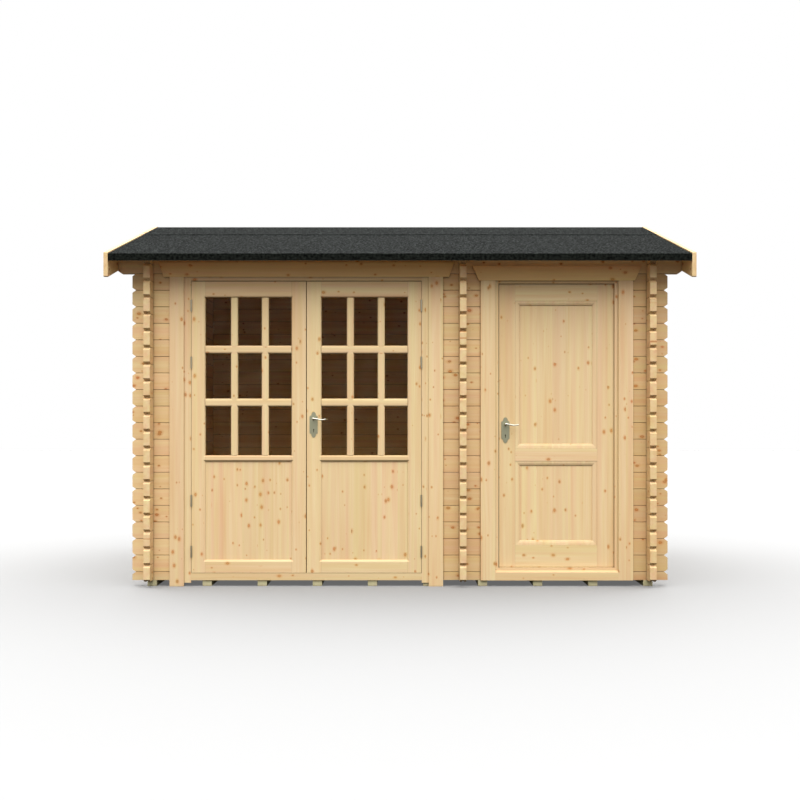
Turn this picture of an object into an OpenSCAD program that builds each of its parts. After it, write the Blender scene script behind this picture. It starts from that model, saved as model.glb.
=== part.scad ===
// Log cabin with a glazed double door to the main room and a panelled door to a side store.
// X runs along the front, Y from front to back, Z up; the origin is on the ground under the middle.

/* [Cabin] */
// Length over the outer faces of the side walls
cabin_w = 3484; // [3200:2:5000]
// Depth over the outer faces of the front and back walls
cabin_d = 2250; // [1800:2:3200]
// Middle of the partition, to the right of the cabin's middle
partition_x = 429.5; // [400:0.5:500]
// Thickness of a log
log_t = 44; // [36:1:58]
// Height from one log to the next
log_h = 114; // [95:1:140]
// Full logs in the front and back walls, below the eaves logs
courses = 18; // [17:1:21]
// Length of each log beyond the wall that it crosses
log_end = 100; // [60:1:150]
// Depth of the bevel on a log's end, along the log
bevel_d = 24; // [10:1:40]
// Height of the bevel on a log's end
bevel_h = 17; // [8:1:25]
// Eased arris along each edge of a log's faces
arris = 3; // [1:0.5:6]
// Height of the tongue on a log
tongue_h = 8; // [5:1:12]
// Width of the tongue at its root
tongue_w = 16; // [10:1:22]
// Running gap between stacked and crossing logs
seam = 0.4; // [0.3:0.1:0.9]

/* [Bearers and floor] */
// Number of bearers under the cabin
bearers_n = 10; // [6:1:14]
// Width of a bearer
bearer_w = 63; // [45:1:100]
// Inset of the outer bearers from the side walls' outer faces
bearer_in = 3.5; // [0:0.5:20]
// Height of a bearer
bearer_h = 41; // [38:1:75]
// Thickness of the floor
floor_t = 19; // [16:1:28]

/* [Roof] */
// Slope of the roof in degrees
pitch = 17.6; // [14:0.2:22]
// Height of the eaves logs' outer edges
eaves_log_h = 153; // [130:1:180]
// Reach of the eaves beyond the front and back walls
eaves_out = 250; // [180:1:320]
// Reach of the roof beyond the side walls
verge_out = 198; // [140:1:320]
// Thickness of the roof boards
deck_t = 19; // [16:1:25]
// Thickness of the felt
felt_t = 3; // [2:0.5:5]
// Height of the felt that is turned down over the eaves
felt_drop = 47; // [40:1:60]
// Width down each slope of the strip of felt over the ridge
ridge_strip = 472; // [300:1:600]
// Lap of the ridge strip over the felt below it
felt_lap = 100; // [75:1:150]
// Thickness of the eaves boards
fascia_t = 18; // [15:1:25]
// Height of a purlin
purlin_h = 130; // [100:1:145]
// Distance of the side purlins from the ridge
purlin_y = 470; // [400:1:520]
// Thickness of a bargeboard
barge_t = 28; // [18:1:32]
// Width of a bargeboard, square to the slope
barge_w = 157; // [120:1:180]
// Height of a bargeboard's top edge above the felt
barge_up = 7.5; // [0:0.5:15]

/* [Double door] */
// Middle of the double door, to the right of the cabin's middle
double_x = -643.5; // [-700:0.5:-640]
// Half the width between the jambs
double_half = 793; // [650:1:800]
// Width of a jamb's face
jamb_w = 48; // [40:1:60]
// Projection of the jambs in front of the wall
jamb_out = 10; // [4:1:16]
// Height of the jambs' front edges above the ground
jamb_foot = 24; // [10:1:40]
// Width of the trims beside the double door
trim_w = 98; // [80:1:110]
// Thickness of the trims and casings
trim_t = 20; // [15:1:25]
// Thickness of the frames' lips inside the walls, which grip the logs
grip_t = 16; // [12:1:22]
// Width of the double door's stops behind the leaves
stop_w = 15; // [12:1:20]
// Height of the double door's sill above the bearers
sill_h = 48; // [38:1:60]
// Height of the double door's head, up to the eaves log
double_head_h = 50; // [45:1:80]
// Height of the strip of head that shows above the double door's leaves
head_face_h = 25; // [15:1:30]
// Width of the glazed leaves' stiles on the hinges
hinge_stile_w = 92.5; // [80:0.5:110]
// Width of the glazed leaves' stiles where they meet
meeting_stile_w = 100; // [80:0.5:115]
// Height of the top rail of the glazed leaves
top_rail_h = 110.5; // [90:0.5:130]
// Height of the panes' opening in the glazed leaves
glazing_h = 1085.5; // [900:0.5:1150]
// Height of the middle rail of the glazed leaves
mid_rail_h = 44; // [36:1:80]
// Height of the bottom rail of the glazed leaves
foot_rail_h = 87.5; // [70:0.5:120]
// Widths of the upright and the level glazing bars
bar_w = [49.5, 56]; // [30:0.5:60]
// Widths of the panes in the first two columns
pane_w = [174.5, 162.5]; // [120:0.5:180]
// Heights of the panes in the lower two rows
pane_h = [335, 308.5]; // [250:0.5:340]
// Width and depth of the bars' rounded shoulders
bar_round = [14, 12]; // [4:0.5:14]
// Recess of the bars' faces from the leaf's faces
bar_in = 3; // [1:0.5:5]
// Width of the rounding round the panes
pane_mould_w = 12; // [8:1:16]
// Depth of the rounding round the panes
pane_mould_d = 12; // [8:1:15]
// Width of the bevel round the glazed leaves' lower panels
low_mould_w = 13; // [6:1:14]
// Depth of the bevel round the glazed leaves' lower panels
low_mould_d = 8; // [4:1:11]
// Thickness of the glass
glass_t = 4; // [3:1:6]

/* [Single door] */
// Middle of the single door, to the right of the cabin's middle
single_x = 1078; // [1060:0.5:1085]
// Half the width of the single door's leaf
single_half = 410; // [380:0.5:415]
// Height of the single door's head above its leaf, up to the eaves log
single_head_h = 57; // [50:1:80]
// Height of the strip of head that shows above the single door's leaf
single_face_h = 7; // [5:1:20]
// Height of the leaf's foot above the bearers
single_foot = 74; // [60:1:90]
// Drop from the single door's leaf to the top of the threshold's nose
nose_drop = 7; // [2:1:12]
// Fall of the threshold's nose towards the front
nose_fall = 12; // [4:1:24]
// Width of the casings beside the single door
casing_w = 100; // [80:1:102]
// Width of the strip of post that shows between a casing and the leaf
reveal_w = 23; // [16:1:30]
// Width of the posts between the logs and the leaf
post_w = 58; // [56:1:70]
// Cover of the stops over the edges of the leaf
stop_lap = 10; // [8:1:14]
// Width of the panelled leaf's stiles, up to the mouldings
panel_stile_w = 127; // [100:1:140]
// Height of the panelled leaf's top rail, down to the moulding
panel_top_h = 128; // [100:1:150]
// Height of the upper panel with its moulding
upper_panel_h = 1020; // [900:1:1050]
// Height of the rail between the panels' mouldings
lock_rail_h = 85.5; // [60:0.5:150]
// Height of the panelled leaf's bottom rail, up to the moulding
panel_foot_h = 163; // [120:1:200]
// Width of the mouldings round the panels
panel_mould_w = 34; // [20:1:40]
// Depth of the mouldings round the panels
panel_mould_d = 12; // [6:1:12]
// Step at the outer edge of the mouldings round the panels
quirk = 2; // [0.5:0.5:3]

/* [Doors] */
// Thickness of the leaves
leaf_t = 40; // [36:1:44]
// Gap around the leaves
leaf_gap = 5; // [5:0.5:7]
// Gap between the two leaves of the double door
meeting_gap = 6; // [5:0.5:10]
// Thickness of the wooden panels
panel_t = 16; // [12:1:18]
// Recess of the panels' faces from the leaf's faces
panel_in = 12; // [4:1:14]
// Depth of the groove that holds the glass and panels
groove_in = 10; // [6:1:14]
// Height of the header boards
header_h = 100; // [80:1:110]
// Thickness of the header boards
header_t = 22; // [18:1:25]
// Lengths by which the double and the single door's header boards run past the trims
header_past = [41, 12]; // [5:1:60]
// Lengths by which those header boards' ends splay outwards
header_splay = [36, 47]; // [0:1:60]
// Radius of a hinge's knuckle
knuckle_r = 5; // [4:0.5:6]
// Height of a hinge
hinge_h = 80; // [60:1:100]
// Middles of the two lower hinges above the leaf's foot
hinges_low = [144, 494]; // [100:1:600]
// Middles of the two upper hinges below the leaf's top
hinges_high = [557, 167]; // [100:1:600]
// Thickness of a hinge's flaps
flap_t = 1.5; // [1:0.1:2]
// Depth of a hinge's flaps
flap_d = 28; // [20:1:34]

/* [Handles] */
// Height of a handle's back plate
plate_h = 176; // [150:1:200]
// Width of a handle's back plate
plate_w = 55; // [52:1:60]
// Thickness of a handle's back plate
plate_t = 3; // [2:0.5:4]
// Height of the lobe on each end of a back plate
lobe_h = 26; // [15:1:35]
// Width of the lobes
lobe_w = 32; // [24:1:34]
// Distance of a back plate's middle below the spindle
plate_drop = 38; // [30:1:50]
// Radius of a back plate's shoulders beside the lobes
shoulder_r = 8; // [3:1:9]
// Distance of the keyhole below the spindle
keyhole_drop = 72; // [60:1:90]
// Radius of the keyhole's round end
keyhole_r = 4.5; // [3:0.5:6]
// Length of the keyhole's slot
keyhole_slot = 19; // [12:1:22]
// Length of a lever from its spindle
lever_l = 90; // [80:1:125]
// Radius of a lever's neck
neck_r = 8; // [7:0.5:10]
// Height of the waves in a lever
lever_wave = 4; // [0:0.5:6]
// Height of a lever's tip
lever_tip = 9.5; // [7:0.5:14]
// Thickness of a lever from front to back
lever_t = 10; // [8:1:14]
// Distance of a lever's middle from the leaf's face
lever_out = 48; // [40:1:60]
// Height of the double door's spindle above the leaf's foot
double_spindle = 1054; // [950:1:1100]
// Height of the single door's spindle above the leaf's foot
single_spindle = 995; // [950:1:1100]
// Distance of the double door's spindle from the leaf's free edge
double_backset = 47; // [45:0.5:60]
// Distance of the single door's spindle from the leaf's free edge
single_backset = 59.5; // [50:0.5:75]

/* [Hidden] */
$fn = 48;

pine = "#e3c08f";
door_pine = "#e8cd9c";
treated = "#c8be91";
felt_grey = "#333537";
steel = "#989b89";

seat = 0.3;                                  // gap where a piece rests on a sloping face
play = 0.5;                                  // gap round turning parts
pin_gap = 4;                                 // a hinge's pin ends this far below its knuckle's top
face_y = cabin_d / 2;                        // outer face of the front and back walls
inner_y = face_y - log_t;                    // their inner face
end_face_x = cabin_w / 2;                    // outer face of the side walls
side_x = end_face_x - log_t / 2;             // middle of the side walls
wall_y = face_y - log_t / 2;                 // middle of the front and back walls
first_z = bearer_h;                          // underside of the walls
half_log = log_h / 2;
eaves_log_z = first_z + half_log + courses * log_h;
wall_ends_x = end_face_x + log_end;
wall_ends_y = face_y + log_end;
slope = tan(pitch);
eaves_y = face_y + eaves_out;                // front of the turned-down felt
verge_x = end_face_x + verge_out;            // inner face of the bargeboards
log_top = eaves_log_z + eaves_log_h + slope * face_y;    // the logs' tops in line with the ridge
deck_under = log_top + seat;                 // the roof's layers are given by their heights at the ridge
deck_top = deck_under + deck_t / cos(pitch);
felt_top = deck_top + seat + felt_t / cos(pitch);
eaves_z = felt_top - slope * eaves_y;        // felt's top at the eaves
deck_end_y = eaves_y - felt_t - fascia_t - seat;
gable_courses = ceil((log_top - eaves_log_z - half_log) / log_h);

leaf_front = -face_y - jamb_out;             // outer face of the glazed leaves
frame_back = -inner_y + grip_t;              // inner face of both door frames
single_front = frame_back - leaf_t;          // outer face of the panelled leaf
stop_t = single_front - leaf_gap + face_y;   // thickness of the single door's stops
lip = single_half - stop_lap;                // the stops' edges from the single door's middle
sill_z = first_z + sill_h;
double_z = sill_z + leaf_gap;
double_head_z = eaves_log_z - double_head_h;
double_h = double_head_z - leaf_gap - double_z;
leaf_w = double_half - leaf_gap - meeting_gap / 2;
trims_top = double_head_z + head_face_h;     // the double door's header starts here
single_z = first_z + single_foot;
single_top = eaves_log_z - single_head_h;
single_h = single_top - single_z;
casings_top = single_top + single_face_h;    // the single door's header starts here
post_in = single_half + leaf_gap;            // inner side of the posts from the door's middle
glazing_w = leaf_w - hinge_stile_w - meeting_stile_w;
// Middles of the bars from the left side and the foot of the panes' opening
upright_bars = [pane_w[0] + bar_w[0] / 2, pane_w[0] + pane_w[1] + 1.5 * bar_w[0]];
cross_bars = [pane_h[0] + bar_w[1] / 2, pane_h[0] + pane_h[1] + 1.5 * bar_w[1]];
glazing_z = double_h - top_rail_h - glazing_h;
low_panel_top = glazing_z - mid_rail_h;
hinge_y = knuckle_r + play;                  // hinge axis in front of the leaf's face
front_logs = [-wall_ends_x, double_x - double_half - jamb_w - seam,
              double_x + double_half + jamb_w + seam, single_x - post_in - post_w - seam,
              single_x + post_in + post_w + seam, wall_ends_x];

function roof_at(apex, y) = apex - slope * abs(y);

// Section of a log across its thickness, with an eased arris, a tongue on top and a groove below
function log_section(top, grooved) = let (
    t = log_t / 2, tw = tongue_w / 2, gw = tw + 0.5, draft = 1.5, gd = tongue_h + 1
) concat(
    grooved ? [[-t + arris, 0], [-gw, 0], [-gw + draft, gd], [gw - draft, gd], [gw, 0], [t - arris, 0],
               [t, arris]]
            : [[-t, 0], [t, 0]],
    [[t, top - arris], [t - arris, top], [tw, top], [tw - draft, top + tongue_h],
     [-tw + draft, top + tongue_h], [-tw, top], [-t + arris, top], [-t, top - arris]],
    grooved ? [[-t, arris]] : []
);

// Side view of a log from a to b: bevelled ends where it runs past a corner, and notches at the crossings
function log_outline(a, b, top, crossings, foot, end_a, end_b) = let (
    w = log_t / 2 + seam, low = log_h / 4 + seam / 2, high = top + seam - log_h / 4 - seam / 2,
    above = top + tongue_h, n = len(crossings)
) concat(
    end_a && foot ? [[a, bevel_h], [a + bevel_d, 0]] : [[a, 0]],
    foot ? [for (p = crossings) each [[p - w, 0], [p - w, low], [p + w, low], [p + w, 0]]] : [],
    end_b && foot ? [[b - bevel_d, 0], [b, bevel_h]] : [[b, 0]],
    end_b ? [[b, top - bevel_h], [b - bevel_d, top], [b - bevel_d, above]] : [[b, above]],
    [for (i = [n - 1 : -1 : 0]) let (p = crossings[i])
        each [[p + w, above], [p + w, high], [p - w, high], [p - w, above]]],
    end_a ? [[a + bevel_d, above], [a + bevel_d, top], [a, top - bevel_h]] : [[a, above]]
);

// One log along X with its underside at height 0
module log_piece(a, b, crossings, high = log_h, foot = true, end_a = true, end_b = true) {
    top = high - seam;
    intersection() {
        translate([a, 0, 0]) rotate([90, 0, 90]) linear_extrude(b - a) polygon(log_section(top, foot));
        rotate([90, 0, 0]) linear_extrude(2 * log_t, center = true)
            polygon(log_outline(a, b, top, crossings, foot, end_a, end_b));
    }
}

// A stretch of the front or back wall up to the eaves log
module long_wall(a, b, crossings) {
    end_a = a == -wall_ends_x;
    end_b = b == wall_ends_x;
    translate([0, 0, first_z]) log_piece(a, b, crossings, half_log, false, end_a, end_b);
    for (i = [0 : courses - 1])
        translate([0, 0, first_z + half_log + i * log_h])
            log_piece(a, b, crossings, log_h, true, end_a, end_b);
}

// Everything below the roof boards, as one prism along X
module under_roof(half_x, reach_y) {
    translate([-half_x, 0, 0]) rotate([90, 0, 90]) linear_extrude(2 * half_x)
        polygon([[-reach_y, 0], [reach_y, 0], [reach_y, roof_at(log_top, reach_y)], [0, log_top],
                 [-reach_y, roof_at(log_top, reach_y)]]);
}

// A purlin's section as a prism along X, grown by g on its sides and foot for the slots that hold it
module purlin_prism(y, half_x, g) {
    t = log_t / 2 + g;
    z = roof_at(log_top, y) - purlin_h - g;
    translate([-half_x, y - t, z]) cube([2 * half_x, 2 * t, purlin_h + log_h]);
}

// A wall across the cabin, from the bearers up into the roof
module cross_wall(x) {
    translate([x, 0, 0]) {
        for (i = [0 : courses])
            translate([0, 0, first_z + i * log_h])
                rotate([0, 0, 90]) log_piece(-wall_ends_y, wall_ends_y, [-wall_y, wall_y]);
        difference() {
            intersection() {
                union() for (i = [0 : gable_courses - 1])
                    translate([0, 0, first_z + (courses + 1 + i) * log_h]) rotate([0, 0, 90])
                        log_piece(-wall_ends_y, wall_ends_y, i == 0 ? [-wall_y, wall_y] : []);
                under_roof(log_t, wall_ends_y + 1);
            }
            for (y = [-purlin_y, 0, purlin_y]) purlin_prism(y, log_t, seat);
        }
    }
}

module bearers() {
    pitch_x = (cabin_w - bearer_w - 2 * bearer_in) / (bearers_n - 1);
    color(treated) for (i = [0 : bearers_n - 1])
        translate([(i - (bearers_n - 1) / 2) * pitch_x - bearer_w / 2, -face_y, 0])
            cube([bearer_w, cabin_d, bearer_h]);
}

// Floor of each room, cut back from the door frames
module floor() {
    rooms = [[-side_x, partition_x], [partition_x, side_x]];
    doors = [[double_x, double_half + jamb_w * 2], [single_x, post_in + post_w + jamb_w]];
    g = seam;
    color(pine) for (i = [0 : 1]) difference() {
        translate([rooms[i][0] + log_t / 2 + g, -inner_y + g, first_z])
            cube([rooms[i][1] - rooms[i][0] - log_t - 2 * g, 2 * (inner_y - g), floor_t]);
        translate([doors[i][0] - doors[i][1] - 1, -inner_y, first_z - 1])
            cube([2 * (doors[i][1] + 1), frame_back + inner_y + g, floor_t + 2]);
    }
}

module left_wall() { color(pine) cross_wall(-side_x); }
module right_wall() { color(pine) cross_wall(side_x); }
module partition_wall() { color(pine) cross_wall(partition_x); }

module back_wall() {
    color(pine) translate([0, wall_y, 0])
        long_wall(-wall_ends_x, wall_ends_x, [-side_x, partition_x, side_x]);
}

module front_wall_left() {
    color(pine) translate([0, -wall_y, 0]) long_wall(front_logs[0], front_logs[1], [-side_x]);
}

module front_wall_middle() {
    color(pine) translate([0, -wall_y, 0]) long_wall(front_logs[2], front_logs[3], [partition_x]);
}

module front_wall_right() {
    color(pine) translate([0, -wall_y, 0]) long_wall(front_logs[4], front_logs[5], [side_x]);
}

// The log under the roof, which runs on to carry the bargeboards; its top is planed to the slope
module eaves_log(y) {
    reach = verge_x - seat;
    w = log_t / 2 + seam;
    notch_z = eaves_log_z + log_h * 3 / 4 - seam / 2;
    color(pine) difference() {
        intersection() {
            translate([0, y, eaves_log_z])
                log_piece(-reach, reach, [], 2 * log_h);
            under_roof(reach + 1, wall_ends_y);
        }
        for (x = [-side_x, partition_x, side_x]) {
            translate([x - w, y - log_t, notch_z]) cube([2 * w, 2 * log_t, 2 * log_h]);
            translate([x - w, y - log_t, eaves_log_z - 1])
                cube([2 * w, 2 * log_t, log_h / 4 + seam / 2 + 1]);
        }
    }
}

module front_eaves_log() { eaves_log(-wall_y); }
module back_eaves_log() { eaves_log(wall_y); }

module purlin(y) {
    reach = verge_x - seat;
    color(pine) intersection() {
        purlin_prism(y, reach, 0);
        under_roof(reach + 1, wall_ends_y);
    }
}

module ridge_purlin() { purlin(0); }
module front_purlin() { purlin(-purlin_y); }
module back_purlin() { purlin(purlin_y); }

// A slope's outline in side view between two heights at the ridge, turned for the front or the back
module slope_slab(side, from_y, to_y, low, high, half_x) {
    translate([-half_x, 0, 0]) rotate([90, 0, 90]) linear_extrude(2 * half_x)
        polygon([for (p = [[from_y, low], [to_y, low], [to_y, high], [from_y, high]])
            [side * p[0], roof_at(p[1], p[0])]]);
}

module roof_boards(side) {
    color(pine) slope_slab(side, seat, deck_end_y, deck_under, deck_top, verge_x - seat);
}

module front_roof_boards() { roof_boards(-1); }
module back_roof_boards() { roof_boards(1); }

module eaves_board(side) {
    inner = deck_end_y + seat;
    outer = inner + fascia_t - seat;
    foot = eaves_z - felt_drop + 2;
    color(pine) translate([-verge_x + seat, 0, 0]) rotate([90, 0, 90])
        linear_extrude(2 * (verge_x - seat))
            polygon([[side * inner, foot], [side * outer, foot], [side * outer, roof_at(deck_top, outer)],
                     [side * inner, roof_at(deck_top, inner)]]);
}

module front_eaves_board() { eaves_board(-1); }
module back_eaves_board() { eaves_board(1); }

// Felt from under the ridge strip down the slope and over the edge of the eaves
module felt(side) {
    top_y = (ridge_strip - felt_lap) * cos(pitch);
    low = deck_top + seat;
    color(felt_grey) translate([-verge_x + seat, 0, 0]) rotate([90, 0, 90])
        linear_extrude(2 * (verge_x - seat))
            polygon([for (p = [[top_y, roof_at(felt_top, top_y)], [eaves_y, eaves_z],
                               [eaves_y, eaves_z - felt_drop], [eaves_y - felt_t, eaves_z - felt_drop],
                               [eaves_y - felt_t, roof_at(low, eaves_y - felt_t)],
                               [top_y, roof_at(low, top_y)]])
                [side * p[0], p[1]]]);
}

module front_felt() { felt(-1); }
module back_felt() { felt(1); }

module ridge_felt() {
    reach = ridge_strip * cos(pitch);
    low = felt_top + seat;
    high = low + felt_t / cos(pitch);
    color(felt_grey) translate([-verge_x + seat, 0, 0]) rotate([90, 0, 90])
        linear_extrude(2 * (verge_x - seat))
            polygon([[-reach, roof_at(low, reach)], [0, low], [reach, roof_at(low, reach)],
                     [reach, roof_at(high, reach)], [0, high], [-reach, roof_at(high, reach)]]);
}

// A bargeboard, cut plumb at the ridge and at the eaves, with a small chamfer at its lower tip
module bargeboard(end, side) {
    top = felt_top + barge_up;
    low = top - barge_w / cos(pitch);
    x = end > 0 ? verge_x : -verge_x - barge_t;
    color(door_pine) translate([x, 0, 0]) rotate([90, 0, 90]) linear_extrude(barge_t)
        polygon([for (p = [[seat, roof_at(top, seat)], [eaves_y, roof_at(top, eaves_y)],
                           [eaves_y, roof_at(low, eaves_y) + 8], [eaves_y - 8, roof_at(low, eaves_y - 8)],
                           [seat, roof_at(low, seat)]])
            [side * p[0], p[1]]]);
}

module front_left_bargeboard() { bargeboard(-1, -1); }
module front_right_bargeboard() { bargeboard(1, -1); }
module back_left_bargeboard() { bargeboard(-1, 1); }
module back_right_bargeboard() { bargeboard(1, 1); }

// A box between two corners
module block(a, b) { translate(a) cube(b - a); }

// A jamb of the double door: it grips the logs' ends and its stop is behind the leaf
module double_jamb(side) {
    grip = double_half + jamb_w;
    stop_y = leaf_front + leaf_t + leaf_gap;
    color(door_pine) translate([double_x, 0, 0]) mirror([side < 0 ? 1 : 0, 0, 0]) {
        block([double_half, leaf_front, jamb_foot], [grip, -face_y - seat, first_z]);
        block([double_half, leaf_front, first_z], [grip, -face_y, trims_top - seat]);
        block([double_half, -face_y, first_z], [grip, frame_back, eaves_log_z - seam]);
        block([double_half - stop_w, stop_y, first_z], [double_half, frame_back, eaves_log_z - seam]);
        block([grip, -inner_y, first_z], [grip + jamb_w, frame_back, eaves_log_z - seam]);
    }
}

module double_left_jamb() { double_jamb(-1); }
module double_right_jamb() { double_jamb(1); }

module double_head() {
    stop_y = leaf_front + leaf_t + leaf_gap;
    half = double_half;
    color(door_pine) translate([double_x, 0, 0]) {
        block([-half, leaf_front, double_head_z], [half, -face_y, trims_top]);
        block([-half, -face_y, double_head_z], [half, stop_y, eaves_log_z - seam]);
        block([-half + stop_w, stop_y, double_head_z - stop_w],
              [half - stop_w, frame_back, eaves_log_z - seam]);
    }
}

module double_sill() {
    stop_y = leaf_front + leaf_t + leaf_gap;
    half = double_half;
    color(door_pine) translate([double_x, 0, 0]) {
        block([-half, leaf_front, first_z], [half, stop_y, sill_z]);
        block([-half + stop_w, stop_y, first_z], [half - stop_w, frame_back, sill_z + stop_w]);
    }
}

module double_trim(side) {
    x = double_half + jamb_w;
    color(door_pine) translate([double_x, 0, 0]) mirror([side < 0 ? 1 : 0, 0, 0])
        block([x, -face_y - trim_t, 0], [x + trim_w, -face_y, trims_top]);
}

module double_left_trim() { double_trim(-1); }
module double_right_trim() { double_trim(1); }

// Header board over a door, with ends that splay outwards
module header(x, half, z, splay) {
    top = half + splay;
    color(door_pine) translate([x, -face_y, z]) rotate([90, 0, 0]) linear_extrude(header_t)
        polygon([[-half, 0], [half, 0], [top, header_h], [-top, header_h]]);
}

module double_header() {
    header(double_x, double_half + jamb_w + trim_w + header_past[0], trims_top, header_splay[0]);
}

module single_header() {
    header(single_x, lip + reveal_w + casing_w + header_past[1], casings_top, header_splay[1]);
}

// A post of the single door: a casing outside, a stop in front of the leaf and a grip for the logs
module single_post(side) {
    grip = post_in + post_w;
    casing = lip + reveal_w;
    color(door_pine) translate([single_x, 0, 0]) mirror([side < 0 ? 1 : 0, 0, 0]) {
        block([casing, -face_y - trim_t, first_z], [casing + casing_w, -face_y, casings_top]);
        block([lip, -face_y, first_z], [grip, -face_y + stop_t, eaves_log_z - seam]);
        block([post_in, -face_y + stop_t, first_z], [grip, frame_back, eaves_log_z - seam]);
        block([grip, -inner_y, first_z], [grip + jamb_w, frame_back, eaves_log_z - seam]);
    }
}

module single_left_post() { single_post(-1); }
module single_right_post() { single_post(1); }

module single_head() {
    top = eaves_log_z - seam;
    color(door_pine) translate([single_x, 0, 0]) {
        block([-lip, -face_y, single_top - stop_lap], [lip, -face_y + stop_t, top]);
        block([-post_in, -face_y + stop_t, single_top + leaf_gap], [post_in, frame_back, top]);
    }
}

// Threshold with a sloping nose between the casings
module single_threshold() {
    nose = lip + reveal_w;
    high = single_z - nose_drop;
    color(door_pine) translate([single_x, 0, 0]) {
        translate([-nose, 0, 0]) rotate([90, 0, 90]) linear_extrude(2 * nose)
            polygon([[-face_y - trim_t, first_z], [-face_y, first_z], [-face_y, high],
                     [-face_y - trim_t, high - nose_fall]]);
        block([-lip, -face_y, first_z], [lip, -face_y + stop_t, single_z + stop_lap]);
        block([-post_in, -face_y + stop_t, first_z], [post_in, frame_back, single_z - leaf_gap]);
    }
}

// One half of each hinge on a leaf: upper = the leaf's half, otherwise the frame's half with its pin
module hinge_set(foot, high, upper, flap_side, back) {
    half = hinge_h / 2;
    outer = leaf_gap / 2;
    inner = outer - flap_t;
    for (h = concat(hinges_low, [for (d = hinges_high) high - d])) translate([0, 0, foot + h]) {
        z = upper ? seat : -half;
        difference() {
            union() {
                translate([0, 0, z]) cylinder(r = knuckle_r, h = half - (upper ? seat : 0));
                block([flap_side > 0 ? inner : -outer, back > 0 ? 0 : -flap_d, z],
                      [flap_side > 0 ? outer : -inner, back > 0 ? flap_d : 0, upper ? half : 0]);
                if (!upper) cylinder(r = knuckle_r / 2, h = half - pin_gap);
            }
            if (upper) translate([0, 0, -1]) cylinder(r = knuckle_r / 2 + seat, h = half - 1);
        }
    }
}

left_axis = [double_x - double_half + leaf_gap / 2, leaf_front - hinge_y];
right_axis = [double_x + double_half - leaf_gap / 2, leaf_front - hinge_y];
single_axis = [single_x + single_half + leaf_gap / 2, frame_back + hinge_y];

module frame_hinges() {
    color(steel) {
        translate([left_axis[0], left_axis[1], 0]) hinge_set(double_z, double_h, false, -1, 1);
        translate([right_axis[0], right_axis[1], 0]) hinge_set(double_z, double_h, false, 1, 1);
        translate([single_axis[0], single_axis[1], 0]) hinge_set(single_z, single_h, false, 1, -1);
    }
}

module left_leaf_hinges() {
    color(steel) translate([left_axis[0], left_axis[1], 0]) hinge_set(double_z, double_h, true, 1, 1);
}

module right_leaf_hinges() {
    color(steel) translate([right_axis[0], right_axis[1], 0]) hinge_set(double_z, double_h, true, -1, 1);
}

module single_leaf_hinges() {
    color(steel) translate([single_axis[0], single_axis[1], 0]) hinge_set(single_z, single_h, true, -1, -1);
}

// Points on an ellipse round c with the radii r, in n steps from angle a to angle b
function arc(c, r, a, b, n) = [for (i = [0 : n]) let (t = a + (b - a) * i / n)
    [c[0] + r[0] * cos(t), c[1] + r[1] * sin(t)]];

// A glazing bar's section: w wide at the glass, with rounded shoulders
function bar_section(w, high) = let (x = w / 2 - bar_round[0], y = high - bar_round[1])
    concat([[-w / 2, 0], [w / 2, 0]], arc([x, y], bar_round, 0, 90, 3), arc([-x, y], bar_round, 90, 180, 3));

// Section through a leaf's opening from a to b. Its edges are cut back w along both faces and d deep, in n
// steps of a rounding that starts with a step q deep
function opening_section(a, b, w, d, n, q) = let (
    edge = arc([w, d], [w, d - q], 270, 180, n),
    side = concat([[w, -1]], edge, [for (i = [n : -1 : 0]) [edge[i][0], leaf_t - edge[i][1]]],
                  [[w, leaf_t + 1]])
) concat([for (p = side) [a - p[0], p[1]]],
         [for (i = [len(side) - 1 : -1 : 0]) [b + side[i][0], side[i][1]]]);

// Opening through a leaf between two corners in X and Z, with mitred mouldings on both faces
module moulded_opening(a, b, w, d, n, q = 0) {
    intersection() {
        translate([0, 0, a[1] - w]) linear_extrude(b[1] - a[1] + 2 * w)
            polygon(opening_section(a[0], b[0], w, d, n, q));
        translate([a[0] - w, 0, 0]) rotate([90, 0, 90]) linear_extrude(b[0] - a[0] + 2 * w)
            polygon([for (p = opening_section(a[1], b[1], w, d, n, q)) [p[1], p[0]]]);
    }
}

// Glazed leaf with its lower corner on the side of stile a at the origin and its outer face at y = 0
module glazed_leaf(a, b) {
    mid = leaf_t / 2;
    glass_gap = glass_t / 2 + seat;
    far = leaf_w - b;
    difference() {
        union() {
            difference() {
                block([0, 0, 0], [leaf_w, leaf_t, double_h]);
                moulded_opening([a, foot_rail_h], [far, low_panel_top], low_mould_w, low_mould_d, 1);
                moulded_opening([a, glazing_z], [far, glazing_z + glazing_h], pane_mould_w, pane_mould_d, 3);
            }
            translate([a, mid - glass_gap, glazing_z]) bar_grid(mid - glass_gap - bar_in);
            translate([a, mid + glass_gap, glazing_z]) mirror([0, 1, 0]) bar_grid(mid - glass_gap - bar_in);
        }
        block([a - groove_in, mid - glass_gap, glazing_z - groove_in],
              [far + groove_in, mid + glass_gap, glazing_z + glazing_h + groove_in]);
        block([a - groove_in, panel_in - seat, foot_rail_h - groove_in],
              [far + groove_in, panel_in + panel_t + seat, low_panel_top + groove_in]);
        translate([0, -1, double_spindle]) children();
    }
}

// Bars over one face of the glass: they stand on y = 0 and rise towards -Y
module bar_grid(high) {
    for (x = upright_bars) translate([x, 0, 0])
        linear_extrude(glazing_h) polygon([for (p = bar_section(bar_w[0], high)) [p[0], -p[1]]]);
    for (z = cross_bars) translate([0, 0, z]) rotate([90, 0, 90])
        linear_extrude(glazing_w) polygon([for (p = bar_section(bar_w[1], high)) [-p[1], p[0]]]);
}

// Bore for a spindle through a leaf, along Y
module spindle_bore() {
    rotate([-90, 0, 0]) cylinder(r = neck_r + play, h = leaf_t + 2);
}

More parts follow.
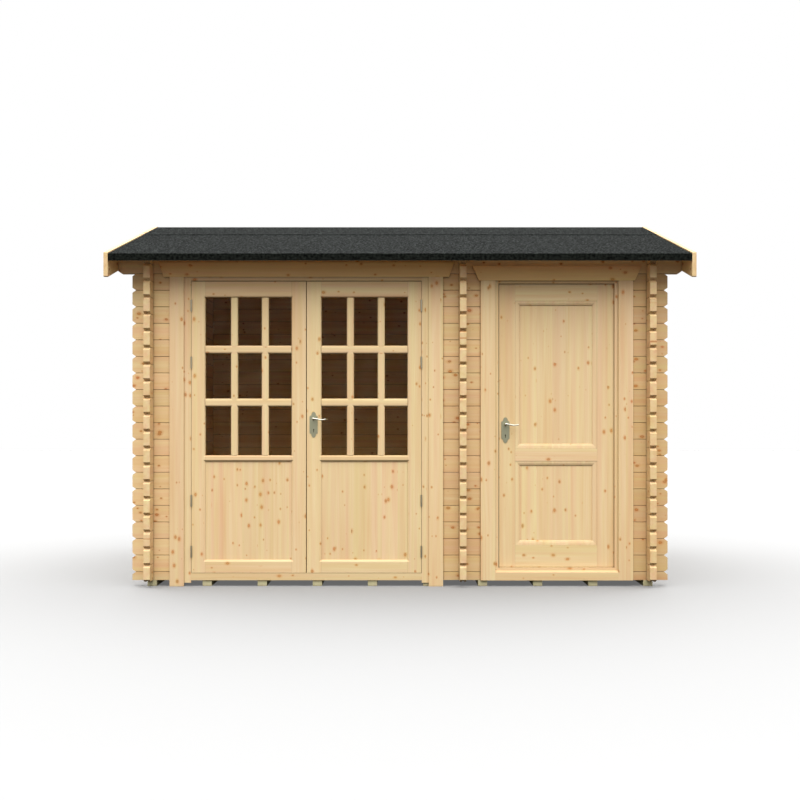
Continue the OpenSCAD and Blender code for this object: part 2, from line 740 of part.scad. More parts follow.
module left_leaf() {
    color(door_pine) translate([double_x - double_half + leaf_gap, leaf_front, double_z])
        glazed_leaf(hinge_stile_w, meeting_stile_w);
}

module right_leaf() {
    color(door_pine) translate([double_x + meeting_gap / 2, leaf_front, double_z])
        glazed_leaf(meeting_stile_w, hinge_stile_w) translate([double_backset, 0, 0]) spindle_bore();
}

module leaf_panel(x) {
    reach = groove_in - seat;
    color(door_pine) translate([x, leaf_front, double_z])
        block([-reach, panel_in, foot_rail_h - reach],
              [glazing_w + reach, panel_in + panel_t, low_panel_top + reach]);
}

module left_leaf_panel() { leaf_panel(double_x - double_half + leaf_gap + hinge_stile_w); }
module right_leaf_panel() { leaf_panel(double_x + meeting_gap / 2 + meeting_stile_w); }

module leaf_glass(x) {
    reach = groove_in - seat;
    color("lightblue", 0.35) translate([x, leaf_front + leaf_t / 2 - glass_t / 2, double_z + glazing_z])
        block([-reach, 0, -reach], [glazing_w + reach, glass_t, glazing_h + reach]);
}

module left_leaf_glass() { leaf_glass(double_x - double_half + leaf_gap + hinge_stile_w); }
module right_leaf_glass() { leaf_glass(double_x + meeting_gap / 2 + meeting_stile_w); }

panel_side = panel_stile_w + panel_mould_w;
upper_panel_z = single_h - panel_top_h - upper_panel_h;
panel_rows = [[panel_foot_h + panel_mould_w, upper_panel_z - lock_rail_h - panel_mould_w],
              [upper_panel_z + panel_mould_w, upper_panel_z + upper_panel_h - panel_mould_w]];

module single_leaf() {
    w = 2 * single_half;
    color(door_pine) translate([single_x - single_half, single_front, single_z]) difference() {
        block([0, 0, 0], [w, leaf_t, single_h]);
        for (row = panel_rows) {
            moulded_opening([panel_side, row[0]], [w - panel_side, row[1]],
                            panel_mould_w, panel_mould_d, 3, quirk);
            block([panel_side - groove_in, panel_in - seat, row[0] - groove_in],
                  [w - panel_side + groove_in, panel_in + panel_t + seat, row[1] + groove_in]);
        }
        translate([single_backset, -1, single_spindle]) spindle_bore();
    }
}

module single_leaf_panels() {
    w = 2 * single_half;
    reach = groove_in - seat;
    color(door_pine) translate([single_x - single_half, single_front, single_z])
        for (row = panel_rows)
            block([panel_side - reach, panel_in, row[0] - reach],
                  [w - panel_side + reach, panel_in + panel_t, row[1] + reach]);
}

// Back plate against the plane y = 0, on the side of -Y, with its spindle hole at the origin. A narrower
// rounded lobe stands on each end of its body
module back_plate() {
    body = plate_h / 2 - lobe_h;
    x = plate_w / 2 - shoulder_r;
    r = [shoulder_r, shoulder_r];
    end = concat(arc([x, body - shoulder_r], r, 0, 90, 3), arc([0, body], [lobe_w / 2, lobe_h], 0, 180, 10),
                 arc([-x, body - shoulder_r], r, 90, 180, 3));
    rotate([90, 0, 0]) difference() {
        linear_extrude(plate_t) translate([0, -plate_drop]) polygon(concat(end, [for (p = end) -p]));
        translate([0, 0, -1]) cylinder(r = neck_r + play, h = plate_t + 2);
        translate([0, -keyhole_drop, -1]) {
            cylinder(r = keyhole_r, h = plate_t + 2);
            translate([-keyhole_r / 2, -keyhole_slot, 0]) cube([keyhole_r, keyhole_slot, plate_t + 2]);
        }
    }
}

// Lever on the side of -Y, round the plane at height y, with its spindle on the Y axis and its grip
// towards +X: its middle line waves and it thins towards its tip
module lever_grip(y) {
    n = 12;
    tip = lever_tip / 2;
    line = [for (i = [0 : n]) [(lever_l - tip) * i / n, lever_wave * cos(270 * i / n)]];
    half = [for (i = [0 : n]) neck_r + (tip - neck_r) * i / n];
    translate([0, y + lever_t / 2, 0]) rotate([90, 0, 0]) {
        linear_extrude(lever_t) polygon(concat([for (i = [0 : n]) line[i] + [0, half[i]]],
                                               [for (i = [n : -1 : 0]) line[i] - [0, half[i]]]));
        for (i = [0, n]) translate([line[i][0], line[i][1], 0]) cylinder(r = half[i], h = lever_t);
    }
}

module lever_pair() {
    rotate([90, 0, 0]) translate([0, 0, -leaf_t - lever_out])
        cylinder(r = neck_r, h = leaf_t + 2 * lever_out);
    lever_grip(-lever_out);
    lever_grip(leaf_t + lever_out);
}

module plate_pair() {
    back_plate();
    translate([0, leaf_t, 0]) mirror([0, 1, 0]) back_plate();
}

double_spindle_at = [double_x + meeting_gap / 2 + double_backset, leaf_front, double_z + double_spindle];
single_spindle_at = [single_x - single_half + single_backset, single_front, single_z + single_spindle];

module double_plates() { color(steel) translate(double_spindle_at) plate_pair(); }
module double_lever() { color(steel) translate(double_spindle_at) lever_pair(); }
module single_plates() { color(steel) translate(single_spindle_at) plate_pair(); }
module single_lever() { color(steel) translate(single_spindle_at) lever_pair(); }

bearers();
floor();
left_wall();
right_wall();
partition_wall();
back_wall();
front_wall_left();
front_wall_middle();
front_wall_right();
front_eaves_log();
back_eaves_log();
ridge_purlin();
front_purlin();
back_purlin();
front_roof_boards();
back_roof_boards();
front_eaves_board();
back_eaves_board();
front_felt();
back_felt();
ridge_felt();
front_left_bargeboard();
front_right_bargeboard();
back_left_bargeboard();
back_right_bargeboard();
double_left_jamb();
double_right_jamb();
double_head();
double_sill();
double_left_trim();
double_right_trim();
double_header();
single_left_post();
single_right_post();
single_head();
single_threshold();
single_header();
frame_hinges();
left_leaf();
left_leaf_panel();
left_leaf_glass();
left_leaf_hinges();
right_leaf();
right_leaf_panel();
right_leaf_glass();
right_leaf_hinges();
single_leaf();
single_leaf_panels();
single_leaf_hinges();
double_plates();
double_lever();
single_plates();
single_lever();
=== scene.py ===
import math

import bmesh
import bpy
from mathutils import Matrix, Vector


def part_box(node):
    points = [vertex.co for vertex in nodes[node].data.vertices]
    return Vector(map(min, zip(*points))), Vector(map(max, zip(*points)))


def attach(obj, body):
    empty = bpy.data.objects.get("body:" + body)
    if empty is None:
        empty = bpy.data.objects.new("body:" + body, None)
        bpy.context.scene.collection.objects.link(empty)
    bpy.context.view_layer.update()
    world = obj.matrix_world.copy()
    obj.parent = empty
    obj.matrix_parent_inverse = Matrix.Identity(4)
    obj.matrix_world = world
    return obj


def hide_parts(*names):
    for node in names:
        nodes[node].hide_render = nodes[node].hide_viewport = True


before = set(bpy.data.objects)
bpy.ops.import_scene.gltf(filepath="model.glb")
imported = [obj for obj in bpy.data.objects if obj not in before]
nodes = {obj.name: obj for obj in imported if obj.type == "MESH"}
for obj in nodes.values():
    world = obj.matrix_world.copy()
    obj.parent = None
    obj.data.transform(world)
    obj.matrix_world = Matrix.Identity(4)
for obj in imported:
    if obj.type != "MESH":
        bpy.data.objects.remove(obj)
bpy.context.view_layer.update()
scene = bpy.context.scene
print("cabin loaded")


def linearColour(hexValue):
    channels = [int(hexValue[i:i + 2], 16) / 255 for i in (1, 3, 5)]
    return [c / 12.92 if c <= 0.04045 else ((c + 0.055) / 1.055) ** 2.4 for c in channels] + [1.0]


def addNode(tree, kind, inputs=None, **settings):   # an input is a value, a socket or another node
    node = tree.nodes.new("ShaderNode" + kind)
    for name, value in settings.items():
        setattr(node, name, value)
    for key, value in (inputs or {}).items():
        if isinstance(value, bpy.types.Node):
            value = value.outputs[0]
        if isinstance(value, bpy.types.NodeSocket):
            tree.links.new(value, node.inputs[key])
        else:
            node.inputs[key].default_value = value
    return node


def startMaterial(name):
    material = bpy.data.materials.new(name)
    material.use_nodes = True
    material.node_tree.nodes.clear()
    return material, material.node_tree


def setStops(ramp, stops):                        # a stop is a hex colour or a grey
    elements = ramp.color_ramp.elements
    while len(elements) < len(stops):
        elements.new(0.5)
    for element, (position, value) in zip(elements, stops):
        element.position = position
        element.color = linearColour(value) if isinstance(value, str) else (value, value, value, 1)


def addPrism(points, faces, near, far):           # two like outlines and the sides between them
    base, count = len(points), len(near)
    points += near + far
    faces += [tuple(range(base, base + count)), tuple(range(base + count, base + 2 * count))]
    faces += [(base + i, base + (i + 1) % count, base + count + (i + 1) % count, base + count + i)
              for i in range(count)]


def addLoft(points, faces, rings):                # a skin over a row of rings, closed at both ends
    base, count = len(points), len(rings[0])
    last = base + (len(rings) - 1) * count
    points += [point for ring in rings for point in ring]
    for row in range(base, last, count):
        for i in range(count):
            a, b = row + i, row + (i + 1) % count
            faces.append((a, b, b + count, a + count))
    faces += [tuple(range(base, base + count)), tuple(range(last, last + count))]


def addObject(name, points, faces):               # a mesh with all its faces turned outwards
    mesh = bpy.data.meshes.new(name)
    mesh.from_pydata(points, [], faces)
    shape = bmesh.new()
    shape.from_mesh(mesh)
    bmesh.ops.recalc_face_normals(shape, faces=shape.faces)
    shape.to_mesh(mesh)
    shape.free()
    made = bpy.data.objects.new(name, mesh)
    scene.collection.objects.link(made)
    return made


def addPiece(name, points, faces, material, body, standsFor=None, smooth=False):
    piece = addObject(name, points, faces)
    if smooth:
        piece.data.shade_smooth()
    piece.data.materials.append(material)
    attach(piece, body)
    if standsFor:
        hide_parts(standsFor)


def dress(material, *names):
    for name in names:
        slots = nodes[name].material_slots
        for slot in slots:
            slot.link = "OBJECT"
            slot.material = material
        if not slots:
            nodes[name].data.materials.append(material)


# Planed softwood: pale earlywood between darker, harder rings, resin-brown knots that the rings swerve round
wood = {
    "ringWidth": 0.0032,            # a ring of slow-grown spruce is 1 to 3 mm; drawn wide so that it shows
    "ringStops": [(0.0, 0.1), (0.5, 0.2), (0.86, 1.0), (1.0, 0.1)],  # pale and soft, then a hard dark edge
    "ringDrift": 0.03,              # the rings wander this far up and down a board
    "figure": (1 / 0.55, 5.0, 5.0),  # over half a metre along it and 0.2 m across
    "heartDepth": (0.12, 0.5),      # nearest and furthest that the heart of the tree lies behind the face
    "swerve": 0.012,                # rings bend out this far round a knot
    "fibre": (6.0, 625.0, 625.0),   # bundles of fibres 1.6 mm wide
    "fibreScale": 0.35,             # and drawn three times as wide so that they show
    "fibreRange": (0.3, 0.7),
    "streak": (1.3, 38.0, 38.0),    # darker streaks, some 26 mm wide
    "streakRange": (0.3, 0.72),
    "patch": (0.8, 12.0, 12.0),     # broad soft changes of tone along the board
    "patchRange": (0.45, 0.75),
    "patchShade": 0.35,
    "tintStreak": (0.5, 26.0, 26.0),  # pinker and yellower streaks, some 40 mm wide and very long
    "tintRange": (0.32, 0.68),
    "tintTurn": (-0.007, 0.011),
    "boardHue": (0.494, 0.503),     # and the same from board to board
    "paler": 0.6,                   # boards vary this much less towards pale than towards dark
    "boardDraw": 0.37,              # picks the set of random boards
    "boardShift": (9.0, 9.0, 9.0),  # each board is cut from another place in the wood
    "knotCell": (0.1, 0.048),       # room for one branch in this length and width of board
    "knotScatter": 0.9,
    "knotStretch": 0.7,             # a knot is longer along the grain
    "knotRagged": (0.75, 1.25),     # its outline goes in and out by this
    "knotRaggedScale": 90.0,
    "knotGroup": 0.3,               # branches grow in whorls about this far apart
    "knotGroupAcross": 6.0,         # and this many groups lie side by side in a metre
    "knotGroupRange": (0.38, 0.62),
    "knotGroupLuck": (-0.42, 0.3),  # fewer knots between whorls, more in them
    "knotLuck": (0.55, 1.1),        # the draw that gives the least knot, and the one for the largest
    "knotLeast": 0.0001,
    "knotFade": (1.2, 0.7, 0.9),    # from and to these parts of its radius, and how strong
    "coreFade": (0.9, 0.35, 0.7),
    "haloFade": (2.6, 0.9, 1.0),    # the wood round it is disturbed
    "haloResin": 0.4,
    "dullKnot": "#b5955a",          # some knots have a pale grey heart
    "dullRange": (0.55, 1.0),
    "dullShare": 0.8,
    "jointHalf": 0.0018,            # half the open joint between two logs
    "jointFade": (1.6, 0.6),        # its shade comes in between these parts of that
    "jointShade": 0.4,
    "railJoint": 0.0006,            # half the tight joint between a rail and its stiles
    "railJointShade": 0.35,
    "railJointColour": "#7a5634",
    "paintedShadeReach": 0.016,               # painted shade darkens the colour this far from an inner corner
    "paintedShadeRange": (0.3, 0.88),
    "paintedShadeColour": "#6a4c2c",
    "underside": (-0.1, -0.6),      # tilt of a face where the painted underside shade starts, and where it is full
    "fibreHeight": 0.6,
    "knotHeight": 0.8,
    "bump": 0.00025,
    "roughDark": (0.05, -0.06),     # dark rings are harder and planed smoother
    "specular": 0.35,
}


def layBoards(tree, grain, pitch, start, seed, rails):   # which board a place is on, and where on it
    coordinates = addNode(tree, "TexCoord").outputs
    axes = addNode(tree, "SeparateXYZ", {0: coordinates["Object"]}).outputs
    # which axes run along the grain, across the boards' faces and into them
    order = {"X": (0, 2, 1), "Y": (1, 2, 0), "Z": (2, 0, 1), "flatX": (0, 1, 2), "flatY": (1, 0, 2)}[grain]
    along, up, depth = (axes[i] for i in order)
    railJoint = None
    if rails:                                     # cross pieces of a door, whose grain runs along X
        inBands = 0.0
        for low, high in rails["heights"]:
            band = addNode(tree, "Math", {0: axes[2], 1: (low + high) / 2, 2: (high - low) / 2},
                           operation="COMPARE")
            inBands = addNode(tree, "Math", {0: inBands, 1: band}, operation="MAXIMUM")
        between = addNode(tree, "Math", {0: axes[0], 1: rails["middle"], 2: rails["half"]},
                          operation="COMPARE")
        inRail = addNode(tree, "Math", {0: inBands, 1: between}, operation="MULTIPLY")
        along = addNode(tree, "Mix", {0: inRail, 2: along, 3: axes[0]})
        up = addNode(tree, "Mix", {0: inRail, 2: up, 3: axes[2]})
        edge = addNode(tree, "Math", {0: axes[0], 1: -rails["middle"]}, operation="ADD")
        edge = addNode(tree, "Math", {0: edge}, operation="ABSOLUTE")
        edge = addNode(tree, "Math", {0: edge, 1: rails["half"], 2: wood["railJoint"]}, operation="COMPARE")
        railJoint = addNode(tree, "Math", {0: edge, 1: inBands}, operation="MULTIPLY")
        railJoint = addNode(tree, "Math", {0: railJoint, 1: wood["railJointShade"]}, operation="MULTIPLY")
    count = addNode(tree, "Math", {0: up, 1: -start}, operation="ADD")
    count = addNode(tree, "Math", {0: count, 1: 1 / pitch}, operation="MULTIPLY")
    index = addNode(tree, "Math", {0: count}, operation="FLOOR")
    within = addNode(tree, "Math", {0: count, 1: index}, operation="SUBTRACT")
    chance = addNode(tree, "CombineXYZ", {0: index, 1: seed, 2: wood["boardDraw"]})
    chance = addNode(tree, "TexWhiteNoise", {0: chance}, noise_dimensions="3D").outputs["Color"]
    spot = addNode(tree, "CombineXYZ", {0: along, 1: up, 2: depth})
    spot = addNode(tree, "VectorMath", {0: chance, 1: wood["boardShift"], 2: spot}, operation="MULTIPLY_ADD")
    return {"spot": spot, "within": within, "depth": depth, "chance": chance, "railJoint": railJoint,
            "normal": coordinates["Normal"]}


def growKnots(tree, spot, knotSize):              # one knot or none in each cell
    length, width = wood["knotCell"]
    inCells = addNode(tree, "VectorMath", {0: spot, 1: (1 / length, 1 / width, 0)}, operation="MULTIPLY")
    knots = addNode(tree, "TexVoronoi", {"Vector": inCells, "Scale": 1.0, "Randomness": wood["knotScatter"]},
                    voronoi_dimensions="2D")
    away = addNode(tree, "VectorMath", {0: inCells, 1: knots.outputs["Position"]}, operation="SUBTRACT")
    away = addNode(tree, "VectorMath", {0: away, 1: (length * wood["knotStretch"], width, 0)},
                   operation="MULTIPLY")
    ragged = addNode(tree, "TexNoise", {"Vector": spot, "Scale": wood["knotRaggedScale"], "Detail": 2.0})
    least, most = wood["knotRagged"]
    ragged = addNode(tree, "MapRange", {0: ragged, 3: least, 4: most})
    reach = addNode(tree, "VectorMath", {0: away}, operation="LENGTH").outputs["Value"]
    reach = addNode(tree, "Math", {0: reach, 1: ragged}, operation="MULTIPLY")
    luck = addNode(tree, "SeparateXYZ", {0: knots.outputs["Color"]}).outputs
    group = addNode(tree, "VectorMath", {0: spot, 1: (1 / wood["knotGroup"], wood["knotGroupAcross"], 0)},
                    operation="MULTIPLY")
    group = addNode(tree, "TexNoise", {"Vector": group, "Scale": 1.0, "Detail": 1.0})
    low, high = wood["knotGroupRange"]
    fewer, more = wood["knotGroupLuck"]
    group = addNode(tree, "MapRange", {0: group, 1: low, 2: high, 3: fewer, 4: more})
    group = addNode(tree, "Math", {0: luck[0], 1: group}, operation="ADD")
    low, high = wood["knotLuck"]
    size = addNode(tree, "MapRange", {0: group, 1: low, 2: high, 3: wood["knotLeast"], 4: knotSize})
    ratio = addNode(tree, "Math", {0: reach, 1: size}, operation="DIVIDE")
    low, high = wood["dullRange"]
    parts = {"dull": addNode(tree, "MapRange", {0: luck[1], 1: low, 2: high, 3: 0.0, 4: wood["dullShare"]})}
    for part, key, smooth in (("mask", "knotFade", "SMOOTHSTEP"), ("core", "coreFade", "SMOOTHSTEP"),
                              ("halo", "haloFade", "SMOOTHERSTEP")):
        outer, inner, strength = wood[key]
        parts[part] = addNode(tree, "MapRange", {0: ratio, 1: outer, 2: inner, 3: 0.0, 4: strength},
                              interpolation_type=smooth)
    return parts


def drawRings(tree, board, pitch, pith, halo):    # round the heart of the tree, wandering along the board
    wander = addNode(tree, "VectorMath", {0: board["spot"], 1: wood["figure"]}, operation="MULTIPLY")
    wander = addNode(tree, "TexNoise", {"Vector": wander, "Scale": 1.0, "Detail": 3.0, "Roughness": 0.45})
    wander = addNode(tree, "MapRange", {0: wander, 3: -wood["ringDrift"], 4: wood["ringDrift"]})
    heart = addNode(tree, "MapRange", {0: board["chance"], 3: -pith, 4: pitch + pith})
    across = addNode(tree, "Math", {0: board["within"], 1: pitch, 2: wander}, operation="MULTIPLY_ADD")
    across = addNode(tree, "Math", {0: across, 1: heart}, operation="SUBTRACT")
    nearest, furthest = wood["heartDepth"]
    inward = addNode(tree, "Math", {0: board["depth"]}, operation="ABSOLUTE")
    inward = addNode(tree, "Math", {0: inward, 1: furthest, 2: nearest}, operation="WRAP")
    rings = addNode(tree, "CombineXYZ", {0: 0.0, 1: across, 2: inward})
    rings = addNode(tree, "VectorMath", {0: rings}, operation="LENGTH").outputs["Value"]
    rings = addNode(tree, "Math", {0: halo, 1: wood["swerve"], 2: rings}, operation="MULTIPLY_ADD")
    rings = addNode(tree, "Math", {0: rings, 1: 1 / wood["ringWidth"]}, operation="MULTIPLY")
    rings = addNode(tree, "Math", {0: rings}, operation="FRACT")
    rings = addNode(tree, "ValToRGB", {0: rings})
    setStops(rings, wood["ringStops"])
    return rings


# Boards of width pitch lie side by side from start, and pith is how far outside a board its heart may lie.
# early and late are the pale and the dark wood of a ring, and rim is the bark-brown edge of a knot.
# shade and under are the strengths of the painted shade in inner corners and on faces that look down.
def softwood(name, grain, pitch, start, seed, early, late, knot, rim="#96592c", tone=0.1, pith=0.05,
             knotSize=0.011, ringDepth=0.24, streakDepth=0.26, roughness=0.56, shade=0.8, under=0.0,
             joints=None, rails=None):
    material, tree = startMaterial(name)
    board = layBoards(tree, grain, pitch, start, seed, rails)
    spot, within = board["spot"], board["within"]
    knots = growKnots(tree, spot, knotSize)
    rings = drawRings(tree, board, pitch, pith, knots["halo"])
    fibre = addNode(tree, "VectorMath", {0: spot, 1: wood["fibre"]}, operation="MULTIPLY")
    fibre = addNode(tree, "TexNoise", {"Vector": fibre, "Scale": wood["fibreScale"], "Detail": 3.0,
                                       "Roughness": 0.6})
    low, high = wood["fibreRange"]
    fibre = addNode(tree, "MapRange", {0: fibre, 1: low, 2: high})
    streak = addNode(tree, "VectorMath", {0: spot, 1: wood["streak"]}, operation="MULTIPLY")
    streak = addNode(tree, "TexNoise", {"Vector": streak, "Scale": 1.0, "Detail": 2.0})
    low, high = wood["streakRange"]
    streak = addNode(tree, "MapRange", {0: streak, 1: low, 2: high})
    dark = addNode(tree, "Math", {0: rings, 1: fibre}, operation="MULTIPLY")
    dark = addNode(tree, "Math", {0: dark, 1: ringDepth}, operation="MULTIPLY")
    dark = addNode(tree, "Math", {0: streak, 1: streakDepth, 2: dark}, operation="MULTIPLY_ADD")
    patch = addNode(tree, "VectorMath", {0: spot, 1: wood["patch"]}, operation="MULTIPLY")
    patch = addNode(tree, "TexNoise", {"Vector": patch, "Scale": 1.0, "Detail": 2.0})
    low, high = wood["patchRange"]
    patch = addNode(tree, "MapRange", {0: patch, 1: low, 2: high, 3: 0.0, 4: wood["patchShade"]})
    resin = addNode(tree, "Math", {0: knots["halo"], 1: wood["haloResin"]}, operation="MULTIPLY")
    centre = addNode(tree, "Mix", {0: knots["dull"], 6: linearColour(knot),
                                   7: linearColour(wood["dullKnot"])}, data_type="RGBA").outputs[2]
    centre = addNode(tree, "Mix", {0: knots["core"], 6: linearColour(rim), 7: centre},
                     data_type="RGBA").outputs[2]
    body = linearColour(early)
    for share, colour in ((dark, linearColour(late)), (patch, linearColour(late)),
                          (resin, linearColour(knot)), (knots["mask"], centre)):
        body = addNode(tree, "Mix", {0: share, 6: body, 7: colour}, data_type="RGBA").outputs[2]
    draws = addNode(tree, "SeparateXYZ", {0: board["chance"]}).outputs
    value = addNode(tree, "MapRange", {0: draws[1], 3: 1 - tone, 4: 1 + tone * wood["paler"]})
    low, high = wood["boardHue"]
    hue = addNode(tree, "MapRange", {0: draws[2], 3: low, 4: high})
    lean = addNode(tree, "VectorMath", {0: spot, 1: wood["tintStreak"]}, operation="MULTIPLY")
    lean = addNode(tree, "TexNoise", {"Vector": lean, "Scale": 1.0, "Detail": 2.0})
    low, high = wood["tintRange"]
    pinker, yellower = wood["tintTurn"]
    lean = addNode(tree, "MapRange", {0: lean, 1: low, 2: high, 3: pinker, 4: yellower})
    hue = addNode(tree, "Math", {0: hue, 1: lean}, operation="ADD")
    body = addNode(tree, "HueSaturation", {"Hue": hue, "Value": value, "Color": body}).outputs[0]
    if joints:                                    # shade in the open joint between two logs
        near = addNode(tree, "Math", {0: within, 1: 0.5}, operation="SUBTRACT")
        near = addNode(tree, "Math", {0: near}, operation="ABSOLUTE")
        outer, inner = (0.5 - wood["jointHalf"] / pitch * part for part in wood["jointFade"])
        near = addNode(tree, "MapRange", {0: near, 1: outer, 2: inner, 3: 0.0, 4: wood["jointShade"]})
        body = addNode(tree, "Mix", {0: near, 6: body, 7: linearColour(joints)}, data_type="RGBA").outputs[2]
    if rails:
        body = addNode(tree, "Mix", {0: board["railJoint"], 6: body,
                                     7: linearColour(wood["railJointColour"])}, data_type="RGBA").outputs[2]
    # painted shade in inner corners, gaps and mouldings, found by ambient occlusion
    paintedShade = addNode(tree, "AmbientOcclusion", {"Distance": wood["paintedShadeReach"]}, samples=6).outputs["AO"]
    low, high = wood["paintedShadeRange"]
    paintedShade = addNode(tree, "MapRange", {0: paintedShade, 1: low, 2: high, 3: shade, 4: 0.0})
    # painted shade: faces that look down are darkened towards the shade colour as well
    downward = addNode(tree, "SeparateXYZ", {0: board["normal"]}).outputs[2]
    level, steep = wood["underside"]
    downward = addNode(tree, "MapRange", {0: downward, 1: level, 2: steep, 3: 0.0, 4: under})
    paintedShade = addNode(tree, "Math", {0: paintedShade, 1: downward}, operation="MAXIMUM")
    body = addNode(tree, "Mix", {0: paintedShade, 6: body, 7: linearColour(wood["paintedShadeColour"])},
                   data_type="RGBA").outputs[2]
    height = addNode(tree, "Math", {0: fibre, 1: wood["fibreHeight"], 2: dark}, operation="MULTIPLY_ADD")
    height = addNode(tree, "Math", {0: knots["mask"], 1: wood["knotHeight"], 2: height},
                     operation="MULTIPLY_ADD")
    bump = addNode(tree, "Bump", {"Height": height, "Distance": wood["bump"], "Strength": 1.0})
    pale, darker = wood["roughDark"]
    rough = addNode(tree, "MapRange", {0: dark, 3: roughness + pale, 4: roughness + darker})
    shader = addNode(tree, "BsdfPrincipled", {"Base Color": body, "Roughness": rough, "Normal": bump,
                                              "IOR": 1.5, "Specular IOR Level": wood["specular"]})
    addNode(tree, "OutputMaterial", {0: shader})
    return material


# Planed spruce wall logs: horizontal grain, one tone for each log, sound orange knots in groups
walls = {"logHeight": 0.114, "foot": 0.041}
logHeight, sideFoot = walls["logHeight"], walls["foot"]
frontFoot = sideFoot - logHeight / 2              # logs of crossing walls lie half a log apart
logLook = dict(late="#d49a5c", knot="#d08b48", rim="#ad6c35", tone=0.06, joints="#6b4624",
               knotSize=0.0095, under=0.4)
innerLook = dict(logLook, joints="#b98b56", tone=0.03, knotSize=0.006, shade=0.4)  # seen from inside too
wholeLook = dict(logLook, joints=None)            # for single logs
logs = [                                          # grain, width and start of the boards, seed, earlywood
    ("planedSpruceFrontLogs", "X", logHeight, frontFoot, 1.0, "#e9cd9b", logLook, ["front_wall_left"]),
    ("planedSpruceMiddleLogs", "X", logHeight, frontFoot, 8.0, "#e3c694", logLook, ["front_wall_middle"]),
    ("planedSpruceRightLogs", "X", logHeight, frontFoot, 2.0, "#d8ba88", logLook, ["front_wall_right"]),
    ("planedSpruceBackLogs", "X", logHeight, frontFoot, 3.0, "#efd19c", innerLook,
     ["back_wall", "back_eaves_log"]),
    ("planedSpruceSideLogs", "Y", logHeight, sideFoot, 4.0, "#ebd09f", innerLook, ["left_wall"]),
    ("planedSpruceRightSideLogs", "Y", logHeight, sideFoot, 5.0, "#e9cd9b", innerLook, ["right_wall"]),
    ("planedSprucePartitionLogs", "Y", logHeight, sideFoot, 6.0, "#ebd09f", innerLook, ["partition_wall"]),
    # the eaves log lies in the eaves' shade; its paler earlywood is painted light that lifts it, and its
    # corners take less painted shade
    ("planedSpruceEavesLogPaintedLight", "X", 4.9, -2.0, 9.0, "#fbdfae", dict(wholeLook, shade=0.4),
     ["front_eaves_log"]),
    ("planedSprucePurlins", "X", 0.47, -0.2, 7.0, "#e9cd9b", wholeLook,
     ["ridge_purlin", "front_purlin", "back_purlin"]),
]
for name, grain, pitch, start, seed, early, look, parts in logs:
    dress(softwood(name, grain, pitch, start, seed, early=early, **look), *parts)
print("logs dressed")

# Planed joinery pine, finer and paler than the logs, with upright grain in stiles, jambs, trims and panels
pineLook = dict(early="#edd3a3", late="#d9a268", knot="#dc9c58", tone=0.03, pith=0.3, ringDepth=0.26,
                streakDepth=0.24, knotSize=0.0085, rim="#c28045", shade=0.4, under=0.6)
joinery = [
    ("planedPineUpright", "Z", 0.098, -1.5845, 11.0, pineLook,
     ["double_left_jamb", "double_right_jamb", "double_left_trim", "double_right_trim",
      "single_left_post", "single_right_post"]),
    ("planedPineLevel", "X", 0.5, 0.02, 12.0, dict(pineLook, early="#e7cb9b"),
     ["double_head", "double_sill", "single_head", "single_threshold"]),
    # the headers lie in the eaves' shade; their yellower earlywood is painted warm shade
    ("planedPineHeadersPaintedShade", "X", 0.5, 0.02, 17.0, dict(pineLook, early="#eecb8c"),
     ["double_header", "single_header"]),
    ("planedPinePanels", "Z", 0.107, -1.3, 13.0, pineLook, ["left_leaf_panel", "right_leaf_panel"]),
    # the store door's panels take stronger painted shade in their mouldings
    ("planedPineStorePanels", "Z", 0.107, -1.3, 13.0, dict(pineLook, shade=0.9), ["single_leaf_panels"]),
]
for name, grain, pitch, start, seed, look, parts in joinery:
    dress(softwood(name, grain, pitch, start, seed, **look), *parts)

glazedRails = [(0.094, 0.1815), (0.855, 0.899), (1.234, 1.29), (1.5985, 1.6545), (1.9845, 2.095)]
storeRails = [(0.115, 0.278), (0.8595, 0.945), (1.965, 2.093)]
leaves = [                                        # stile widths, left and right, then where the rails lie
    # the last number is the strength of the painted shade in the leaf's corners
    ("planedPineLeftLeaf", "left_leaf", (0.0925, 0.1), glazedRails, 14.0, 0.4),
    ("planedPineRightLeaf", "right_leaf", (0.1, 0.0925), glazedRails, 15.0, 0.4),
    ("planedPineStoreLeaf", "single_leaf", (0.127, 0.127), storeRails, 16.0, 0.9),
]
for name, leaf, stiles, heights, seed, shade in leaves:
    low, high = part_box(leaf)
    left, right = low[0] + stiles[0], high[0] - stiles[1]
    rails = {"middle": (left + right) / 2, "half": (right - left) / 2, "heights": heights}
    look = dict(pineLook, shade=shade)
    dress(softwood(name, "Z", stiles[0], low[0], seed, rails=rails, **look), leaf)
print("doors dressed")

# The store door's lock stile has a narrow quirk beside the stop, which shows as a dark line
quirk = {"beside": 0.0025, "width": 0.0075, "depth": 0.016, "overrun": 0.01}


def cutQuirk(node, post, body):
    low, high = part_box(node)
    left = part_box(post)[1][0] - quirk["beside"]
    right = left + quirk["width"]
    front, back = low[1] - quirk["overrun"], low[1] + quirk["depth"]
    corners = [(left, front), (right, front), (right, back), (left, back)]
    points, faces = [], []
    addPrism(points, faces, [(x, y, low[2] - quirk["overrun"]) for x, y in corners],
             [(x, y, high[2] + quirk["overrun"]) for x, y in corners])
    cutter = addObject("quirkCutter", points, faces)
    leaf = bpy.data.objects.new("storeLeafWithQuirk", nodes[node].data.copy())
    scene.collection.objects.link(leaf)
    cut = leaf.modifiers.new("quirk", "BOOLEAN")
    cut.operation = "DIFFERENCE"
    cut.object = cutter
    done = bpy.data.meshes.new_from_object(leaf.evaluated_get(bpy.context.evaluated_depsgraph_get()))
    leaf.modifiers.clear()
    leaf.data = done
    bpy.data.objects.remove(cutter)
    done.materials.clear()
    done.materials.append(nodes[node].material_slots[0].material)
    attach(leaf, body)
    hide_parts(node)


cutQuirk("single_leaf", "single_left_post", "store_door")

# A lipping along the hinge edge and foot of each glazed leaf closes most of the gap round it
lipping = {"side": 0.0025, "foot": 0.003, "setBack": 0.0005}


